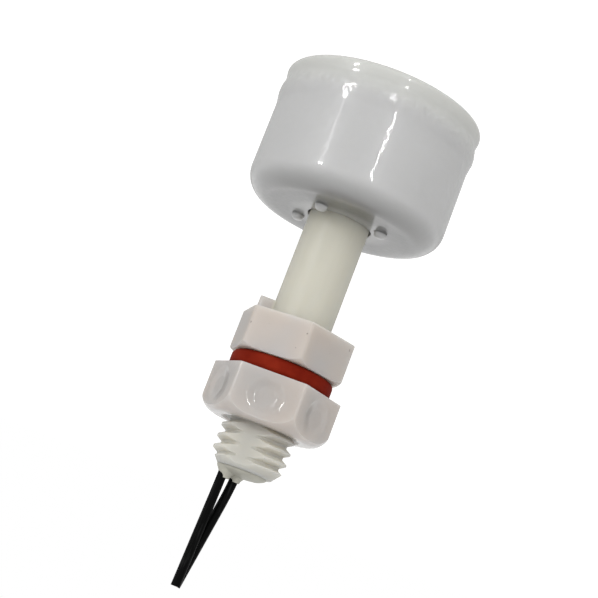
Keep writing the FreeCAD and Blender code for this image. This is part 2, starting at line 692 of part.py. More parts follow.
def solder_joint(shrink_z):
    """Solder round the reed's wire and a lead's core, inside the heat shrink."""
    low_z = shrink_z + (SHRINK_LENGTH - SOLDER_LENGTH) / 2
    high_z = low_z + SOLDER_LENGTH
    end_r = SOLDER_R / 2
    bead = turned([
        (0, low_z),
        (end_r, low_z),
        arc_middle(end_r, low_z + end_r, end_r, -45),
        (SOLDER_R, low_z + end_r),
        (SOLDER_R, high_z - end_r),
        arc_middle(end_r, high_z - end_r, end_r, 45),
        (end_r, high_z),
        (0, high_z),
    ])
    bead.translate(V(JOINT_X, 0, 0))
    wire = Part.makeCylinder(WIRE_R + ASSEMBLY_GAP, SHRINK_LENGTH, V(REED_X, 0, shrink_z))
    core = Part.makeCylinder(CORE_R + ASSEMBLY_GAP, SHRINK_LENGTH, V(JOINT_CORE_X, 0, shrink_z))
    return single(bead.cut(wire).cut(core))


# ---- Leads and potting -------------------------------------------------------------
def front_lead_corners():
    """Corners of the long lead, from its free end to the foot of its jacket."""
    return [
        V(LEAD_END_X, -LEAD_END_Y, LEAD_END_Z),
        V(FRONT_EXIT_X, FRONT_EXIT_Y, CROWN_Z),
        V(FRONT_EXIT_X, FRONT_EXIT_Y, WELL_LOW_Z + WELL_DEPTH / 2),
        V(LONG_LEAD_X, 0, WELL_LOW_Z + WELL_CONE_LENGTH),
        V(LONG_LEAD_X, 0, LONG_JACKET_FOOT_Z),
    ]


def rear_lead_corners():
    """Corners of the short lead, from its free end to the foot of its jacket."""
    return [
        V(LEAD_END_X, LEAD_END_Y, LEAD_END_Z),
        V(REAR_EXIT_X, REAR_EXIT_Y, CROWN_Z),
        V(REAR_EXIT_X, REAR_EXIT_Y, WELL_LOW_Z + WELL_DEPTH / 2),
        V(JOINT_CORE_X, 0, WELL_LOW_Z + WELL_CONE_LENGTH),
        V(JOINT_CORE_X, 0, SHORT_JACKET_FOOT_Z),
    ]


def long_core_route():
    """Long lead's core: past its jacket, across to the lower reed wire."""
    return smooth_route(front_lead_corners()[:-1] + [
        V(LONG_LEAD_X, 0, CORE_BEND_HIGH_Z),
        V(JOINT_CORE_X, 0, CORE_BEND_LOW_Z),
        V(JOINT_CORE_X, 0, LOWER_WIRE_Z),
    ])


def short_core_route():
    """Short lead's core: straight down beside the upper reed wire."""
    corners = rear_lead_corners()
    return smooth_route(corners[:-1] + [V(JOINT_CORE_X, 0, UPPER_SHRINK_Z)])


def lead_insulation(corners):
    """Jacket of one lead."""
    return single(tube_along(smooth_route(corners), CORE_R + ASSEMBLY_GAP, LEAD_R))


def potting_compound():
    """Resin that fills the well, crowned over its mouth and up each lead."""
    low_z = WELL_LOW_Z - WELL_CONE_LENGTH - POTTING_DEPTH_IN_BORE
    crown_sphere_r = (WELL_R ** 2 + POTTING_CROWN ** 2) / (2 * POTTING_CROWN)
    half_angle = math.degrees(math.asin(WELL_R / crown_sphere_r)) / 2
    fill = turned([
        (0, low_z),
        (BORE_R, low_z),
        (BORE_R, WELL_LOW_Z - WELL_CONE_LENGTH),
        (WELL_R, WELL_LOW_Z),
        (WELL_R, SHANK_LENGTH),
        arc_middle(0, CROWN_Z - crown_sphere_r, crown_sphere_r, 90 - half_angle),
        (0, CROWN_Z),
    ])
    for corners in (front_lead_corners(), rear_lead_corners()):
        exit_point = V(corners[1].x, corners[1].y, SHANK_LENGTH)
        collar = Part.makeCone(LEAD_R + POTTING_COLLAR_R, LEAD_R + POTTING_COLLAR_LIP,
                               POTTING_CROWN + POTTING_COLLAR_HEIGHT, exit_point)
        fill = fill.fuse(collar)
    well_mouth = Part.makeCylinder(WELL_R, WELL_DEPTH + POTTING_DEPTH_IN_BORE + SHANK_LENGTH,
                                   V(0, 0, low_z))
    fill = fill.common(well_mouth)
    for corners in (front_lead_corners(), rear_lead_corners()):
        fill = fill.cut(rod_along(smooth_route(corners), LEAD_R))
    return single(fill)


# ---- Build ---------------------------------------------------------------------------
def build():
    """Every piece of the switch by the name of its file."""
    return {
        "stem_body": stem_body(),
        "lock_nut": lock_nut(),
        "sealing_gasket": sealing_gasket(),
        "retaining_clip": retaining_clip(),
        "float_cup": float_cup(),
        "float_lid": float_lid(),
        "float_magnet": float_magnet(),
        "reed_glass": reed_glass(),
        "upper_reed_blade": reed_blade(True),
        "lower_reed_blade": reed_blade(False),
        "reed_cushion": reed_cushion(),
        "upper_solder": solder_joint(UPPER_SHRINK_Z),
        "lower_solder": solder_joint(LOWER_SHRINK_Z),
        "upper_heat_shrink": heat_shrink(UPPER_SHRINK_Z),
        "lower_heat_shrink": heat_shrink(LOWER_SHRINK_Z),
        "long_lead_insulation": lead_insulation(front_lead_corners()),
        "long_lead_core": rod_along(long_core_route(), CORE_R),
        "short_lead_insulation": lead_insulation(rear_lead_corners()),
        "short_lead_core": rod_along(short_core_route(), CORE_R),
        "potting_compound": potting_compound(),
    }


os.makedirs("parts", exist_ok=True)
for node, solid in build().items():
    solid.exportStep(os.path.join("parts", node + ".step"))
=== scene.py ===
import json
import math

import bpy
from mathutils import Euler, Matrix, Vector


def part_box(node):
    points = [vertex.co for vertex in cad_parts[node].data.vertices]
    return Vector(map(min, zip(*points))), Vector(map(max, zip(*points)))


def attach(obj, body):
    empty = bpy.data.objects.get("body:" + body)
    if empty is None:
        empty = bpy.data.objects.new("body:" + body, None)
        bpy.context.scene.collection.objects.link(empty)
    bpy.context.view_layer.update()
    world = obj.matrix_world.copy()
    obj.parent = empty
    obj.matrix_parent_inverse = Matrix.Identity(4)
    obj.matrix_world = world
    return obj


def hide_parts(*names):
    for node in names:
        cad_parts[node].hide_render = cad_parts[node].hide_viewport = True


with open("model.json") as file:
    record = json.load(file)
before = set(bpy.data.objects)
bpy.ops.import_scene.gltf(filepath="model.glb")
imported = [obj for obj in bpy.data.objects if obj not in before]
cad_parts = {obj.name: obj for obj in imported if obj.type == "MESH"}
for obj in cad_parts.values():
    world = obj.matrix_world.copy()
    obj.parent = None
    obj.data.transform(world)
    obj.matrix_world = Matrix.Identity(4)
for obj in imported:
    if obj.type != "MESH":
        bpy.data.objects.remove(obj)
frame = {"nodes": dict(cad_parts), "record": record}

bl_info = {
    "name": "Float Level Switch",
    "version": (1, 0, 0),
    "blender": (4, 5, 0),
    "location": "View3D > Sidebar > Float Switch",
    "description": "Models and finishes a small plastic float level switch",
    "category": "Add Mesh",
}

MM = 0.001
STEM_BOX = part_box("stem_body")
FLOAT_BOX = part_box("float_cup")
LID_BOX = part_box("float_lid")
NUT_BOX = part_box("lock_nut")
POTTING_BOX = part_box("potting_compound")
NUT_FLAT_TURN = math.radians(36.5)
LEAD_EXITS = ((2.1 * MM, -0.25 * MM, 0.0), (0.66 * MM, 0.9 * MM, 0.0))

# How finely the round shapes are divided
POLE = 0.02 * MM                # radius of the pinhole that lathe() leaves on an axis
MERGE_DISTANCE = 0.001 * MM
SHELL_SEGMENTS = 360
SHELL_STEP = 0.3 * MM
ROUND_SEGMENTS = 96
SMALL_SEGMENTS = 32
NUB_COUNT = 4


# ---- Sizes and colours -------------------------------------------------------
def colour_property(name, description, default):
    """A colour setting, held in scene-linear values."""
    return bpy.props.FloatVectorProperty(
        name=name, description=description, default=default,
        size=3, min=0.0, max=1.0, subtype="COLOR")


def length_property(name, description, default):
    """A length setting in metres."""
    return bpy.props.FloatProperty(
        name=name, description=description, default=default, min=0.0, unit="LENGTH")


class FloatSwitchColours(bpy.types.PropertyGroup):
    """Colours of the switch's plastics, rubber, leads and metals."""
    float_plastic: colour_property(
        "Float", "Milky moulding of the float", (0.505, 0.505, 0.505))
    lid_plastic: colour_property(
        "Lid", "Slightly warmer plastic of the float's lid and weld", (0.525, 0.53, 0.505))
    weld_plastic: colour_property(
        "Weld", "Whitened plastic at the weld", (0.80, 0.80, 0.78))
    # Dark colour for the magnet seen through the float's face, and painted shade over the face and its
    # shoulder.
    magnet_and_painted_shade: colour_property(
        "Float over the magnet", "Where the dark magnet shows through the float's face",
        (0.09, 0.09, 0.085))
    stem_plastic: colour_property(
        "Stem", "Cream plastic of the stem tube and the thread", (0.58, 0.565, 0.49))
    flange_plastic: colour_property(
        "Flange", "Paler, slightly pink plastic of the thick flange", (0.50, 0.45, 0.41))
    nut_plastic: colour_property(
        "Nut", "Milky plastic of the lock nut", (0.52, 0.475, 0.44))
    moulding_cool: colour_property(
        "Cool cloud", "Bluer clouds in the thick plastic of flange and nut", (0.475, 0.455, 0.44))
    gasket: colour_property(
        "Gasket", "Red-brown silicone rubber", (0.19, 0.012, 0.0045))
    gasket_light: colour_property(
        "Gasket, lighter", "Lighter mottling of the gasket", (0.22, 0.018, 0.0065))
    potting: colour_property(
        "Potting", "Grey resin round the leads", (0.42, 0.41, 0.35))
    lead: colour_property(
        "Leads", "Black wire insulation", (0.0015, 0.0015, 0.0015))


class FloatSwitchSizes(bpy.types.PropertyGroup):
    """Sizes of the float and of the resin at the cable end."""
    bead_rise: length_property(
        "Weld bead rise", "How far the weld bead stands out past the float's wall", 0.37 * MM)
    bead_length: length_property(
        "Weld bead length", "From the weld to the bead's highest line", 1.7 * MM)
    bead_run_out: length_property(
        "Weld bead run-out", "From the bead's highest line to the plain wall", 2.3 * MM)
    weld_notch: length_property(
        "Weld notch", "How far the weld line sinks below the float's wall", 0.02 * MM)
    weld_lumps: length_property(
        "Weld lumps", "Unevenness that welding leaves in the bead", 0.3 * MM)
    ripple: length_property(
        "Ripple", "Faint waviness of the moulded wall", 0.04 * MM)
    shoulder: length_property(
        "Shoulder", "Rounding between the float's wall and its face", 3.2 * MM)
    bore: length_property("Bore", "Radius of the float's bore", 4.45 * MM)
    bore_edge: length_property("Bore edge", "Rounding at the mouths of the bore", 0.2 * MM)
    sleeve_wall: length_property(
        "Sleeve wall", "Thickness of the tube round the bore", 1.25 * MM)
    wall: length_property("Wall", "Thickness of the float's wall", 1.3 * MM)
    face: length_property("Face", "Thickness of the float's face", 1.5 * MM)
    lid_edge: length_property("Lid edge", "Rounding of the lid's rim", 0.8 * MM)
    nub: length_property("Nub", "Radius of a standoff nub", 0.85 * MM)
    nub_height: length_property("Nub height", "Height of a standoff nub", 0.8 * MM)
    nub_circle: length_property(
        "Nub circle", "Radius of the circle that the nubs stand on", 6.35 * MM)
    nub_turn: bpy.props.FloatProperty(
        name="Nub turn", description="Where the first nub stands round the bore",
        default=math.radians(28.0), unit="ROTATION")
    lead: length_property("Lead", "Radius of a lead's jacket", 0.625 * MM)
    crown: length_property(
        "Potting crown", "How far the resin rises over the shank's end", 0.9 * MM)
    magnet: length_property("Magnet", "Radius of the ring magnet inside the float", 10.2 * MM)


class FloatSwitchStage(bpy.types.PropertyGroup):
    """Camera, lamps and floor."""
    camera_place: bpy.props.FloatVectorProperty(
        name="Camera place", description="Where the camera stands",
        default=(0.0, -0.18142, 0.02849), size=3, subtype="TRANSLATION", unit="LENGTH")
    camera_turn: bpy.props.FloatVectorProperty(
        name="Camera turn", description="The camera's rotation",
        default=tuple(math.radians(a) for a in (-77.41447, 20.61120, -175.93609)),
        size=3, subtype="EULER", unit="ROTATION")
    lens: bpy.props.FloatProperty(
        name="Lens", description="Focal length on a 36 mm sensor, in millimetres",
        default=84.229, min=1.0)
    floor_drop: length_property(
        "Floor drop", "How far the floor lies below the switch", 0.25)
    world_level: bpy.props.FloatProperty(
        name="World level", description="Strength of the surrounding light", default=0.69, min=0.0)


# ---- Shape tools -------------------------------------------------------------
def arc(centre, radius, start, end, steps=8):
    """Points (radius, z) along an arc from one angle to another, in degrees."""
    points = []
    for index in range(steps + 1):
        angle = math.radians(start + (end - start) * index / steps)
        points.append((centre[0] + radius * math.cos(angle), centre[1] + radius * math.sin(angle)))
    return points


def swell(start, end, steps=8):
    """Points between two places that leave and arrive level, as in a moulded bulge."""
    points = []
    for index in range(steps + 1):
        share = index / steps
        eased = share * share * (3 - 2 * share)
        points.append((start[0] + (end[0] - start[0]) * eased, start[1] + (end[1] - start[1]) * share))
    return points


def finely(profile, step):
    """A run of points with its long stretches divided, so that it can carry unevenness."""
    points = [profile[0]]
    for start, end in zip(profile, profile[1:]):
        pieces = max(1, math.ceil(math.dist(start, end) / step))
        for index in range(1, pieces + 1):
            share = index / pieces
            points.append((start[0] + (end[0] - start[0]) * share,
                           start[1] + (end[1] - start[1]) * share))
    return points


def lathe(name, profile, segments):
    """A ring about Z, extruded circle by circle along a profile of (radius, z).

    Each circle is scaled from the one before, so no radius may be 0, and a piece that
    should be solid on its axis keeps an open pinhole of radius POLE there.
    """
    bpy.ops.object.select_all(action="DESELECT")
    bpy.ops.mesh.primitive_circle_add(
        vertices=segments, radius=profile[0][0], fill_type="NOTHING", enter_editmode=True)
    bpy.ops.transform.translate(value=(0.0, 0.0, profile[0][1]))
    for before, after in zip(profile, profile[1:] + profile[:1]):
        growth = after[0] / before[0]
        bpy.ops.mesh.extrude_region_move(
            TRANSFORM_OT_translate={"value": (0.0, 0.0, after[1] - before[1])})
        bpy.ops.transform.resize(value=(growth, growth, 1.0), center_override=(0.0, 0.0, after[1]))
    bpy.ops.mesh.select_all(action="SELECT")
    bpy.ops.mesh.remove_doubles(threshold=MERGE_DISTANCE)
    bpy.ops.mesh.normals_make_consistent(inside=False)
    bpy.ops.object.mode_set(mode="OBJECT")
    piece = bpy.context.object
    piece.name = name
    return piece


def apply_modifiers(piece):
    """Make every modifier of a piece part of its mesh."""
    bpy.context.view_layer.objects.active = piece
    for modifier in list(piece.modifiers):
        bpy.ops.object.modifier_apply(modifier=modifier.name)


def roughen(piece, name, grain, strength, weight):
    """Lift and sink a piece's surface by smooth noise where weight(point) is above 0."""
    group = piece.vertex_groups.new(name=name)
    for vertex in piece.data.vertices:
        share = weight(vertex.co)
        if share > 0.0:
            group.add([vertex.index], share, "REPLACE")
    noise = bpy.data.textures.new(name, "CLOUDS")
    noise.noise_scale = grain
    noise.noise_depth = 3
    lumps = piece.modifiers.new(name, "DISPLACE")
    lumps.texture = noise
    lumps.vertex_group = group.name
    lumps.strength = strength
    lumps.mid_level = 0.5
    apply_modifiers(piece)


def join_shapes(piece, others):
    """Fuse other closed shapes into a piece."""
    for other in others:
        fuse = piece.modifiers.new("fuse", "BOOLEAN")
        fuse.operation = "UNION"
        fuse.solver = "EXACT"
        fuse.object = other
        apply_modifiers(piece)
        bpy.data.objects.remove(other)


def round_shading(piece, angle=35.0):
    """Smooth shading that keeps edges sharper than an angle."""
    bpy.ops.object.select_all(action="DESELECT")
    piece.select_set(True)
    bpy.context.view_layer.objects.active = piece
    bpy.ops.object.shade_smooth_by_angle(angle=math.radians(angle))


# ---- Float -------------------------------------------------------------------
LUMP_ROOM = 0.4                 # share of the lumps' height that the bead stays back
OUTER_SKIN = 1.0 * MM           # what lies nearer the wall than this is roughened
WELD_GRAIN = 0.8 * MM
RIPPLE_GRAIN = 0.9 * MM
NUB_DOME = 0.6 * MM
NUB_ROOT = 0.5 * MM             # how far a nub starts below the face
NUB_FOOT = 1.1                  # a nub's foot in shares of its radius
NUB_FOOT_SINK = 0.01 * MM


def weld_height():
    """Height of the weld between the cup and the lid."""
    return FLOAT_BOX[0].z


def wall_radius(sizes):
    """Radius of the float's plain wall."""
    return FLOAT_BOX[1].x - sizes.bead_rise


def shell_profile(sizes):
    """Outline of the welded shell's outside: bore, face, wall, weld bead and lid."""
    top = FLOAT_BOX[1].z - sizes.nub_height
    low = LID_BOX[0].z
    weld = weld_height()
    wall = wall_radius(sizes)
    rim = LID_BOX[1].x
    bead = (FLOAT_BOX[1].x - LUMP_ROOM * sizes.weld_lumps, weld + sizes.bead_length)
    shoulder = sizes.shoulder
    edge = sizes.bore_edge
    outside = finely(
        arc((wall - shoulder, top - shoulder), shoulder, 90.0, 0.0, 20)
        + swell((wall, bead[1] + sizes.bead_run_out), bead, 10)
        + swell(bead, (wall - sizes.weld_notch, weld), 8)[1:]
        + swell((wall - sizes.weld_notch, weld), (rim, low + sizes.lid_edge), 6)[1:]
        + arc((rim - sizes.lid_edge, low + sizes.lid_edge), sizes.lid_edge, 0.0, -90.0)[1:],
        SHELL_STEP)
    return (
        arc((sizes.bore + edge, low + edge), edge, 270.0, 180.0, 5)
        + arc((sizes.bore + edge, top - edge), edge, 180.0, 90.0, 5)
        + outside)


def cavity_profile(sizes):
    """Outline of the sealed hollow between the wall, the face, the sleeve and the lid."""
    ceiling = FLOAT_BOX[1].z - sizes.nub_height - sizes.face
    cavity = wall_radius(sizes) - sizes.wall
    inner = sizes.shoulder - sizes.wall
    sleeve = sizes.bore + sizes.sleeve_wall
    return (
        [(sleeve, weld_height()), (cavity, weld_height())]
        + arc((cavity - inner, ceiling - inner), inner, 0.0, 90.0)
        + [(sleeve, ceiling)])


def hollow_out(shell, cavity):
    """Turn a closed form inside out and join it to a shell as its sealed hollow."""
    bpy.ops.object.select_all(action="DESELECT")
    cavity.select_set(True)
    bpy.context.view_layer.objects.active = cavity
    bpy.ops.object.mode_set(mode="EDIT")
    bpy.ops.mesh.select_all(action="SELECT")
    bpy.ops.mesh.flip_normals()
    bpy.ops.object.mode_set(mode="OBJECT")
    shell.select_set(True)
    bpy.context.view_layer.objects.active = shell
    bpy.ops.object.join()


def make_nub(sizes, index):
    """One domed standoff nub that flows out of the face."""
    top = FLOAT_BOX[1].z
    face = top - sizes.nub_height
    foot = NUB_FOOT * sizes.nub
    outline = (
        [(POLE, face - NUB_ROOT), (foot, face - NUB_ROOT)]
        + swell((foot, face - NUB_FOOT_SINK), (sizes.nub, top - NUB_DOME), 4)
        + arc((sizes.nub - NUB_DOME, top - NUB_DOME), NUB_DOME, 0.0, 90.0)[1:]
        + [(POLE, top)])
    nub = lathe("nub", outline, SMALL_SEGMENTS)
    angle = sizes.nub_turn + index * math.tau / NUB_COUNT
    nub.location = (sizes.nub_circle * math.cos(angle), sizes.nub_circle * math.sin(angle), 0.0)
    bpy.ops.object.transform_apply(location=True, rotation=True, scale=True)
    return nub


class FLOATSWITCH_OT_float_shell(bpy.types.Operator):
    """Model the float's welded shell with its uneven weld bead and standoff nubs"""
    bl_idname = "floatswitch.float_shell"
    bl_label = "Float shell"

    def execute(self, context):
        sizes = context.scene.float_switch_sizes
        shell = lathe("float_shell", shell_profile(sizes), SHELL_SEGMENTS)
        bead_z = weld_height() + sizes.bead_length
        inner = wall_radius(sizes) - OUTER_SKIN
        roughen(shell, "weld", WELD_GRAIN, sizes.weld_lumps,
                lambda point: max(0.0, 1.0 - abs(point.z - bead_z) / sizes.bead_length)
                * (point.xy.length > inner))
        roughen(shell, "ripple", RIPPLE_GRAIN, sizes.ripple,
                lambda point: 1.0 * (point.xy.length > inner))
        join_shapes(shell, [make_nub(sizes, index) for index in range(NUB_COUNT)])
        hollow_out(shell, lathe("hollow", cavity_profile(sizes), ROUND_SEGMENTS))
        round_shading(shell)
        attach(shell, "float")
        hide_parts("float_cup", "float_lid")
        return {"FINISHED"}


# ---- Potting -----------------------------------------------------------------
COLLAR_WIDTH = 0.9 * MM         # from the jacket outwards, at the resin's level
COLLAR_RISE = 1.6 * MM
COLLAR_ROOT = 0.8 * MM
COLLAR_LIP = 0.04 * MM
WELL_GAP = 0.02 * MM
WELL_LEDGE = 0.85 * MM           # the well is this much wider than the bore below it
BORE_FILL = 3.0 * MM            # resin in the bore, below the well
WELL_TAPER = 1.2 * MM
CROWN_STEP_DEG = 6
RESIN_GRAIN = 1.0 * MM
RESIN_LUMPS = 0.16 * MM


def make_collar(sizes, place):
    """The resin drawn up round one lead."""
    mouth = STEM_BOX[1].z
    foot = sizes.lead + COLLAR_WIDTH
    outline = (
        [(POLE, mouth - COLLAR_ROOT), (foot, mouth - COLLAR_ROOT)]
        + swell((foot, mouth), (sizes.lead + COLLAR_LIP, mouth + COLLAR_RISE), 8)
        + [(POLE, mouth + COLLAR_RISE)])
    collar = lathe("collar", outline, SMALL_SEGMENTS)
    collar.location = place
    bpy.ops.object.transform_apply(location=True, rotation=True, scale=True)
    return collar


class FLOATSWITCH_OT_potting(bpy.types.Operator):
    """Model the resin's uneven crown at the shank's end"""
    bl_idname = "floatswitch.potting"
    bl_label = "Potting"

    def execute(self, context):
        sizes = context.scene.float_switch_sizes
        well = POTTING_BOX[1].x - WELL_GAP
        low = POTTING_BOX[0].z
        mouth = STEM_BOX[1].z
        crown = [(well * math.cos(math.radians(angle)),
                  mouth + sizes.crown * math.sin(math.radians(angle)))
                 for angle in range(0, 90, CROWN_STEP_DEG)]
        bore = well - WELL_LEDGE
        step = low + BORE_FILL
        buried = [(POLE, low), (bore, low), (bore, step), (well, step + WELL_TAPER)]
        outline = buried + crown + [(POLE, mouth + sizes.crown)]
        resin = lathe("potting_body", outline, ROUND_SEGMENTS)
        join_shapes(resin, [make_collar(sizes, place) for place in LEAD_EXITS])
        roughen(resin, "resin", RESIN_GRAIN, RESIN_LUMPS,
                lambda point: min(1.0, max(0.0, (point.z - mouth) / (0.5 * sizes.crown))))
        round_shading(resin, 60.0)
        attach(resin, "root")
        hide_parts("potting_compound")
        return {"FINISHED"}


# ---- Shader arithmetic -------------------------------------------------------
class Value:
    """A node's output, usable in Python arithmetic."""

    def __init__(self, shader, socket):
        self.shader = shader
        self.socket = socket

    def _math(self, operation, first, second):
        return self.shader.node("ShaderNodeMath", {"operation": operation}, {0: first, 1: second})

    def __add__(self, other):
        return self._math("ADD", self, other)

    def __radd__(self, other):
        return self._math("ADD", other, self)

    def __sub__(self, other):
        return self._math("SUBTRACT", self, other)

    def __rsub__(self, other):
        return self._math("SUBTRACT", other, self)

    def __mul__(self, other):
        return self._math("MULTIPLY", self, other)

    def __rmul__(self, other):
        return self._math("MULTIPLY", other, self)


class Shader:
    """One node material or world under construction."""

    def __init__(self, name):
        self.material = bpy.data.materials.new(name)
        self.material.use_nodes = True
        self.tree = self.material.node_tree
        self.tree.nodes.clear()

    def node(self, kind, settings=None, sockets=None, output=0):
        """Add a node: its settings first, then the values or links of its sockets."""
        made = self.tree.nodes.new(kind)
        for name, value in (settings or {}).items():
            setattr(made, name, value)
        for key, value in (sockets or {}).items():
            if isinstance(value, Value):
                self.tree.links.new(value.socket, made.inputs[key])
            elif hasattr(value, "__len__") and made.inputs[key].type == "RGBA":
                made.inputs[key].default_value = (*value, 1.0)[:4]
            else:
                made.inputs[key].default_value = value
        return Value(self, made.outputs[output]) if made.outputs else None

    def place(self):
        """The point on the surface, in the part's own frame."""
        return self.node("ShaderNodeTexCoord", output="Object")

    def stretched(self, factors):
        """The point on the surface, scaled along each axis."""
        return self.node("ShaderNodeMapping", {"vector_type": "POINT"},
                         {"Vector": self.place(), "Scale": factors})

    def noise(self, size, detail=2.0, where=None, roughness=0.5):
        """Noise of a grain size in metres, from 0 to 1."""
        return self.node("ShaderNodeTexNoise", {},
                         {"Vector": where or self.place(), "Scale": 1.0 / size,
                          "Detail": detail, "Roughness": roughness})

    def blend(self, share, first, second):
        """Colour between first and second."""
        return self.node("ShaderNodeMix", {"data_type": "RGBA"},
                         {0: share, 6: first, 7: second}, output=2)

    def coordinates(self):
        """The point's three coordinates in the part's own frame."""
        split = {0: self.place()}
        return tuple(self.node("ShaderNodeSeparateXYZ", {}, split, output=axis) for axis in range(3))

    def root(self, value):
        """Square root of a value."""
        return self.node("ShaderNodeMath", {"operation": "SQRT"}, {0: value})

    def step(self, value, start, end):
        """Smooth step of a value from 0 at start to 1 at end; start may be the larger."""
        return self.node("ShaderNodeMapRange", {"interpolation_type": "SMOOTHSTEP"},
                         {"Value": value, "From Min": start, "From Max": end})

    def bump(self, height, distance, strength=1.0):
        """Surface normal with a height in metres."""
        return self.node("ShaderNodeBump", {},
                         {"Height": height, "Distance": distance, "Strength": strength})

    def surface(self, **sockets):
        """Finish with a Principled surface; underscores in names stand for spaces."""
        named = {key.replace("_", " "): value for key, value in sockets.items()}
        shader = self.node("ShaderNodeBsdfPrincipled", {}, named)
        self.node("ShaderNodeOutputMaterial", {}, {"Surface": shader})
        return self.material


def shade(colour, factor):
    """A colour made lighter or darker."""
    return tuple(min(1.0, channel * factor) for channel in colour)


# ---- Finishes ----------------------------------------------------------------
POLYPROPYLENE_IOR = 1.49
SILICONE_IOR = 1.41
INSULATION_IOR = 1.5
RESIN_IOR = 1.52
GLASS_IOR = 1.5
DULL_SPECULAR = 0.05            # rubber and jackets hardly mirror the white surroundings
FLECK_COLOUR = (0.16, 0.14, 0.13)
CLOUD_GRAIN = 8 * MM            # the drifting tint of the thick mouldings
FLAT_ANGLE = math.radians(60.0)
NUT_FLAT_REACH = 7.5 * MM       # turns an angle across a flat into a length
SINK_HEIGHT = 3.3 * MM          # a sink mark's middle, over the nut's gasket side
SINK_FLOOR_R = 1.1 * MM
SINK_RIM_R = 2.7 * MM
FLANGE_FADE = (-6.6 * MM, -5.2 * MM)
LUG_FADE = (-9.0 * MM, -8.5 * MM)
LUG_REACH = (4.3 * MM, 4.7 * MM)
SHANK_FADE = (6 * MM, 11 * MM)


def cloudy(shader, colour, other):
    """A slow drift between two close colours of one thick moulding."""
    return shader.blend(shader.step(shader.noise(CLOUD_GRAIN, 1.0), 0.3, 0.7), colour, other)


def nut_plastic(colours):
    """Natural polypropylene with a glossy skin and the soft sink mark of each flat."""
    shader = Shader("nut_plastic")
    cloud = shader.noise(6 * MM, 2.0)
    grain = shader.noise(0.5 * MM, 2.0)
    x, y, z = shader.coordinates()
    turn = shader.node("ShaderNodeMath", {"operation": "ARCTAN2"}, {0: y, 1: x})
    side = shader.node("ShaderNodeMath", {"operation": "PINGPONG"},
                       {0: turn - NUT_FLAT_TURN, 1: FLAT_ANGLE / 2})
    across = side * NUT_FLAT_REACH
    up = z - (NUT_BOX[0].z + SINK_HEIGHT)
    away = shader.root(across * across + up * up)
    sink = 1.0 - shader.step(away, SINK_FLOOR_R, SINK_RIM_R)
    return shader.surface(
        Base_Color=cloudy(shader, colours.nut_plastic, colours.moulding_cool),
        Roughness=0.07 + 0.08 * grain,
        Normal=shader.bump(0.42 * (1.0 - sink) + 0.03 * grain + 0.12 * cloud, 1.0 * MM),
        Subsurface_Weight=1.0,
        Subsurface_Radius=(1.0, 0.92, 0.85),
        Subsurface_Scale=4.0 * MM,
        IOR=POLYPROPYLENE_IOR)


def float_plastic(colours, sizes):
    """Milky plastic of the float, darker over the magnet that shows through its face, with painted
    shade over the face and its shoulder.
    """
    shader = Shader("float_plastic")
    x, y, z = shader.coordinates()
    cloud = shader.noise(9 * MM, 2.0)
    grain = shader.noise(0.5 * MM, 3.0)
    ripple = shader.noise(1.1 * MM, 2.0)
    reach = shader.root(x * x + y * y) + 1.2 * MM * (cloud - 0.5)
    face = FLOAT_BOX[1].z - sizes.nub_height
    sleeve = sizes.bore + sizes.sleeve_wall
    # One mask for the magnet and painted shade: the magnet darkens the face inside its ring, and
    # painted shade darkens the whole shoulder towards the face.
    inside = shader.step(reach, sizes.magnet + 2.6 * MM, sizes.magnet - 1.2 * MM)
    # Painted light near the sleeve: the darkening eases off there to lift the shadow of the gap by the
    # stem.
    outside = 0.5 + 0.5 * shader.step(reach, sleeve - 0.6 * MM, sleeve + 2.0 * MM)
    near_face = shader.step(z, face - sizes.shoulder, face - 0.2 * MM)
    # The nubs are kept lighter than the painted shade around them.
    nub = shader.step(z, face + 0.02 * MM, face + 0.25 * MM)
    magnet = (0.45 + 0.55 * inside) * outside * near_face * (1.0 - 0.75 * nub)
    near_lid = shader.step(z, weld_height() + 3.0 * MM, weld_height())
    from_weld = shader.node("ShaderNodeMath", {"operation": "ABSOLUTE"}, {0: z - weld_height()})
    stressed = shader.step(from_weld, 1.3 * MM, 0.0)
    milky = shader.blend(cloud, shade(colours.float_plastic, 0.96), shade(colours.float_plastic, 1.04))
    warm = shader.blend(0.8 * near_lid, milky, colours.lid_plastic)
    welded = shader.blend(0.12 * stressed, warm, colours.weld_plastic)
    return shader.surface(
        Base_Color=shader.blend(magnet, welded, colours.magnet_and_painted_shade),
        Roughness=0.28 + 0.16 * grain,
        Normal=shader.bump(0.3 * grain + ripple, 0.02 * MM),
        Coat_Weight=0.55 + 0.45 * cloud,
        Coat_Roughness=0.035,
        Subsurface_Weight=1.0,
        Subsurface_Radius=(1.0, 0.97, 0.93),
        Subsurface_Scale=2.5 * MM,
        IOR=POLYPROPYLENE_IOR)


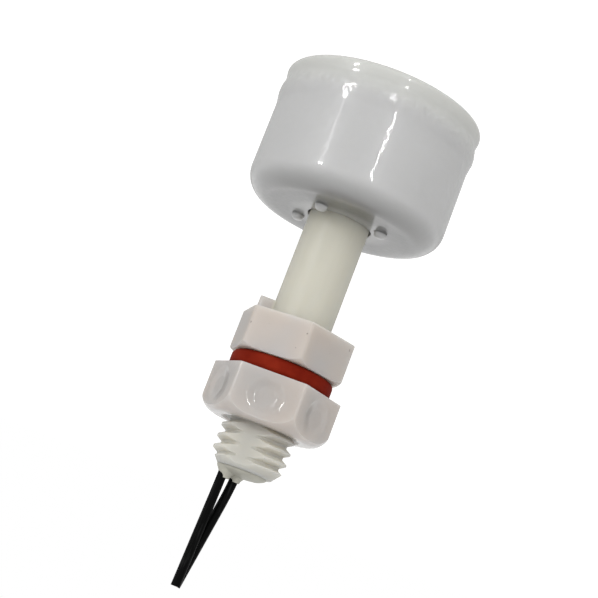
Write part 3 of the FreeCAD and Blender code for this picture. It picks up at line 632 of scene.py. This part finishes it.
def stem_plastic(colours):
    """Stem moulding: cream tube and thread, paler where the flange is thick."""
    shader = Shader("stem_plastic")
    x, y, z = shader.coordinates()
    reach = shader.root(x * x + y * y)
    lug = shader.step(reach, *LUG_REACH) * shader.step(z, *LUG_FADE)
    flange = shader.node("ShaderNodeMath", {"operation": "MAXIMUM"},
                         {0: shader.step(z, *FLANGE_FADE), 1: lug})
    shank = shader.step(z, *SHANK_FADE)
    cloud = shader.noise(5 * MM, 2.0)
    flow = shader.noise(0.9 * MM, 2.0, shader.stretched((1.0, 1.0, 0.12)))
    fleck = shader.step(shader.noise(0.7 * MM, 1.0), 0.76, 0.80)
    cream = shader.blend(flow, shade(colours.stem_plastic, 0.97), shade(colours.stem_plastic, 1.03))
    pale = cloudy(shader, colours.flange_plastic, colours.moulding_cool)
    clean = shader.blend(flange * (1.0 - 0.7 * shank), cream, pale)
    return shader.surface(
        Base_Color=shader.blend(0.7 * fleck * flange, clean, FLECK_COLOUR),
        Roughness=0.38 + 0.12 * cloud,
        Normal=shader.bump(shader.noise(0.35 * MM, 3.0) + 0.8 * flow, 0.008 * MM),
        Subsurface_Weight=1.0,
        Subsurface_Radius=(1.0, 0.92, 0.8),
        Subsurface_Scale=4.0 * MM,
        IOR=POLYPROPYLENE_IOR)


def silicone_rubber(colours):
    """Matt gasket rubber, mottled in tone, with a fine moulded grain."""
    shader = Shader("gasket_silicone")
    mottle = shader.step(shader.noise(2.6 * MM, 3.0), 0.3, 0.75)
    grain = shader.noise(0.12 * MM, 3.0)
    return shader.surface(
        Base_Color=shader.blend(mottle, shade(colours.gasket, 0.85), colours.gasket_light),
        Roughness=0.55 + 0.2 * grain,
        Normal=shader.bump(grain, 0.01 * MM),
        Specular_IOR_Level=DULL_SPECULAR,
        IOR=SILICONE_IOR)


def wire_insulation(colours):
    """Black extruded jacket with faint lengthwise drawing lines, and thin light streaks painted along
    it as highlights.
    """
    shader = Shader("lead_jacket")
    lines = shader.noise(0.25 * MM, 2.0, shader.stretched((1.0, 1.0, 0.06)))
    # Painted highlight: thin lengthwise streaks much lighter than the black jacket.
    painted_highlight_lines = shader.step(lines, 0.55, 0.72)
    return shader.surface(
        Base_Color=shader.blend(painted_highlight_lines, colours.lead, shade(colours.lead, 9.0)),
        Roughness=0.3 + 0.2 * lines,
        Normal=shader.bump(lines, 0.015 * MM),
        Specular_IOR_Level=DULL_SPECULAR,
        IOR=INSULATION_IOR)


def cast_resin(colours):
    """Grey potting resin, a little uneven in tone."""
    shader = Shader("potting_resin")
    cloud = shader.noise(1.6 * MM, 3.0)
    return shader.surface(
        Base_Color=shader.blend(cloud, shade(colours.potting, 0.75), shade(colours.potting, 1.3)),
        Roughness=0.35 + 0.2 * cloud,
        Normal=shader.bump(cloud, 0.05 * MM),
        IOR=RESIN_IOR)


def drawn_metal(name, colour, gloss, length_scale):
    """Bare metal with fine drawing or rolling marks."""
    shader = Shader(name)
    marks = shader.noise(0.15 * MM, 3.0, shader.stretched(length_scale))
    return shader.surface(
        Base_Color=shader.blend(marks, shade(colour, 0.8), shade(colour, 1.15)),
        Roughness=gloss + 0.15 * marks,
        Normal=shader.bump(marks, 0.01 * MM),
        Metallic=1.0)


def plain_moulded(name, colour, gloss, grain_size):
    """Opaque inner piece with a fine grain."""
    shader = Shader(name)
    grain = shader.noise(grain_size, 3.0)
    return shader.surface(
        Base_Color=shader.blend(grain, shade(colour, 0.8), shade(colour, 1.2)),
        Roughness=gloss + 0.15 * grain,
        Normal=shader.bump(grain, 0.02 * MM))


def tube_glass():
    """Green-tinted glass of the reed switch."""
    shader = Shader("reed_glass")
    ripple = shader.noise(1.5 * MM, 1.0)
    return shader.surface(
        Base_Color=shader.blend(ripple, (0.62, 0.80, 0.68), (0.72, 0.88, 0.76)),
        Roughness=0.03 + 0.05 * ripple,
        Transmission_Weight=0.9,
        IOR=GLASS_IOR)


def make_finishes(colours, sizes):
    """Every finish by the name of its material slot."""
    return {
        "stem_plastic": stem_plastic(colours),
        "nut_plastic": nut_plastic(colours),
        "float_plastic": float_plastic(colours, sizes),
        "gasket_silicone": silicone_rubber(colours),
        "clip_steel": drawn_metal("clip_steel", (0.60, 0.60, 0.59), 0.25, (1.0, 1.0, 0.2)),
        "ferrite": plain_moulded("ferrite", (0.05, 0.05, 0.055), 0.55, 0.3 * MM),
        "reed_glass": tube_glass(),
        "reed_metal": drawn_metal("reed_metal", (0.62, 0.60, 0.56), 0.25, (1.0, 1.0, 0.1)),
        "cushion_silicone": plain_moulded("cushion_silicone", (0.62, 0.62, 0.58), 0.4, 1.0 * MM),
        "solder": drawn_metal("solder", (0.66, 0.67, 0.68), 0.3, (1.0, 1.0, 1.0)),
        "heat_shrink": plain_moulded("heat_shrink", (0.012, 0.012, 0.013), 0.5, 0.5 * MM),
        "lead_jacket": wire_insulation(colours),
        "copper": drawn_metal("copper", (0.75, 0.36, 0.20), 0.3, (1.0, 1.0, 0.1)),
        "potting_resin": cast_resin(colours),
    }


def give_finish(piece, finish):
    """Make a finish the only material of a piece."""
    piece.data.materials.clear()
    piece.data.materials.append(finish)


# ---- Operators ---------------------------------------------------------------
class FLOATSWITCH_OT_finishes(bpy.types.Operator):
    """Give every carried-over piece its finish"""
    bl_idname = "floatswitch.finishes"
    bl_label = "Finishes"

    def execute(self, context):
        scene = context.scene
        finishes = make_finishes(scene.float_switch_colours, scene.float_switch_sizes)
        for part in frame["record"]["subparts"]:
            give_finish(frame["nodes"][part["node"]], finishes[part["material_slot"]])
        for name, slot in MODELLED.items():
            give_finish(bpy.data.objects[name], finishes[slot])
        return {"FINISHED"}


class FLOATSWITCH_OT_stage(bpy.types.Operator):
    """Set up the camera, the lamps, the floor and the world"""
    bl_idname = "floatswitch.stage"
    bl_label = "Stage"

    def execute(self, context):
        stage = context.scene.float_switch_stage
        add_camera(context, stage)
        add_lamps()
        add_floor(stage)
        make_world(context, stage)
        context.scene.view_settings.view_transform = "Standard"
        return {"FINISHED"}


SENSOR_WIDTH = 36.0
NEAR_CLIP = 0.01
LAMP_TARGET = Vector((0.0, 0.0, -12 * MM))
KEY_DISTANCE = 0.60
STRIP_DISTANCE = 0.50
FLOOR_SIZE = 12.0
FLOOR_GLOW = 0.55
WHITE = (1.0, 1.0, 1.0)


def add_camera(context, stage):
    """The camera, looking at the whole switch."""
    camera = bpy.data.cameras.new("camera")
    camera.sensor_width = SENSOR_WIDTH
    camera.lens = stage.lens
    camera.clip_start = NEAR_CLIP
    holder = bpy.data.objects.new("camera", camera)
    holder.location = stage.camera_place
    holder.rotation_euler = Euler(stage.camera_turn, "XYZ")
    context.scene.collection.objects.link(holder)
    context.scene.camera = holder


def add_lamp(name, azimuth, elevation, distance, size, power, mirrored=True):
    """A rectangular lamp that faces the middle of the switch; angles are in degrees."""
    azimuth = math.radians(azimuth)
    elevation = math.radians(elevation)
    towards = Vector((math.cos(azimuth) * math.cos(elevation),
                      math.sin(azimuth) * math.cos(elevation), math.sin(elevation)))
    lamp = bpy.data.lights.new(name, "AREA")
    lamp.shape = "RECTANGLE"
    lamp.size, lamp.size_y = size
    lamp.energy = power
    holder = bpy.data.objects.new(name, lamp)
    holder.location = LAMP_TARGET + towards * distance
    holder.rotation_euler = towards.to_track_quat("Z", "Y").to_euler()
    holder.visible_camera = False
    holder.visible_glossy = mirrored
    bpy.context.scene.collection.objects.link(holder)


def add_lamps():
    """A broad key that leaves no mirror image, and the strips and the spark that gloss shows."""
    add_lamp("key", -88.0, -10.0, KEY_DISTANCE, (0.40, 0.40), 0.95, mirrored=False)
    add_lamp("soft_strip", -47.0, -19.0, STRIP_DISTANCE, (0.022, 0.17), 0.045)
    add_lamp("narrow_strip", -104.5, -21.0, STRIP_DISTANCE, (0.012, 0.23), 0.30)
    add_lamp("spark", -47.0, -11.0, STRIP_DISTANCE, (0.028, 0.07), 0.40)


def pale_floor():
    """Pale floor paint that looks near white to the camera and still takes the shadow."""
    shader = Shader("floor")
    rays = shader.node("ShaderNodeLightPath", output="Is Camera Ray")
    drift = shader.noise(0.08, 2.0)
    paint = shader.node("ShaderNodeBsdfDiffuse", {},
                        {"Color": shader.blend(drift, (0.80, 0.80, 0.79), (0.84, 0.84, 0.83))})
    glow = shader.node("ShaderNodeEmission", {}, {"Color": WHITE, "Strength": rays * FLOOR_GLOW})
    both = shader.node("ShaderNodeAddShader", {}, {0: paint, 1: glow})
    shader.node("ShaderNodeOutputMaterial", {}, {"Surface": both})
    return shader.material


def add_floor(stage):
    """A wide pale floor under the switch."""
    height = STEM_BOX[0].z - stage.floor_drop
    bpy.ops.object.select_all(action="DESELECT")
    bpy.ops.mesh.primitive_grid_add(x_subdivisions=8, y_subdivisions=8, size=FLOOR_SIZE,
                                    location=(0.0, 0.0, height))
    floor = bpy.context.object
    floor.name = "floor"
    bpy.ops.object.transform_apply(location=True, rotation=True, scale=True)
    give_finish(floor, pale_floor())


def make_world(context, stage):
    """Even surrounding light that looks white behind the switch and in gloss."""
    world = bpy.data.worlds.new("surroundings")
    world.use_nodes = True
    tree = world.node_tree
    tree.nodes.clear()
    rays = tree.nodes.new("ShaderNodeLightPath")
    seen = tree.nodes.new("ShaderNodeMath")
    seen.operation = "MAXIMUM"
    tree.links.new(rays.outputs["Is Camera Ray"], seen.inputs[0])
    tree.links.new(rays.outputs["Is Transmission Ray"], seen.inputs[1])
    mirrored = tree.nodes.new("ShaderNodeMath")
    mirrored.operation = "MAXIMUM"
    tree.links.new(seen.outputs[0], mirrored.inputs[0])
    tree.links.new(rays.outputs["Is Glossy Ray"], mirrored.inputs[1])
    level = tree.nodes.new("ShaderNodeMapRange")
    level.inputs["To Min"].default_value = stage.world_level
    level.inputs["To Max"].default_value = 1.0
    tree.links.new(mirrored.outputs[0], level.inputs["Value"])
    background = tree.nodes.new("ShaderNodeBackground")
    background.inputs["Color"].default_value = (*WHITE, 1.0)
    tree.links.new(level.outputs["Result"], background.inputs["Strength"])
    output = tree.nodes.new("ShaderNodeOutputWorld")
    tree.links.new(background.outputs[0], output.inputs["Surface"])
    context.scene.world = world


class FLOATSWITCH_PT_panel(bpy.types.Panel):
    """Sidebar panel with the switch's operators"""
    bl_idname = "FLOATSWITCH_PT_panel"
    bl_label = "Float Switch"
    bl_space_type = "VIEW_3D"
    bl_region_type = "UI"
    bl_category = "Float Switch"

    def draw(self, context):
        for operator in OPERATORS:
            self.layout.operator(operator.bl_idname)


OPERATORS = (
    FLOATSWITCH_OT_float_shell,
    FLOATSWITCH_OT_potting,
    FLOATSWITCH_OT_finishes,
    FLOATSWITCH_OT_stage,
)
MODELLED = {
    "float_shell": "float_plastic",
    "potting_body": "potting_resin",
}
GROUPS = {
    "float_switch_colours": FloatSwitchColours,
    "float_switch_sizes": FloatSwitchSizes,
    "float_switch_stage": FloatSwitchStage,
}


def register():
    """Make the groups, the operators and the panel known to Blender."""
    for group in GROUPS.values():
        bpy.utils.register_class(group)
    for operator in OPERATORS:
        bpy.utils.register_class(operator)
    bpy.utils.register_class(FLOATSWITCH_PT_panel)
    for name, group in GROUPS.items():
        setattr(bpy.types.Scene, name, bpy.props.PointerProperty(type=group))


def unregister():
    """Undo register()."""
    for name in GROUPS:
        delattr(bpy.types.Scene, name)
    bpy.utils.unregister_class(FLOATSWITCH_PT_panel)
    for operator in reversed(OPERATORS):
        bpy.utils.unregister_class(operator)
    for group in reversed(GROUPS.values()):
        bpy.utils.unregister_class(group)


def main():
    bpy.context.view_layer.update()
    register()
    bpy.ops.object.select_all(action="DESELECT")
    for operator in OPERATORS:
        area, name = operator.bl_idname.split(".")
        getattr(getattr(bpy.ops, area), name)()


if __name__ == "__main__":
    main()
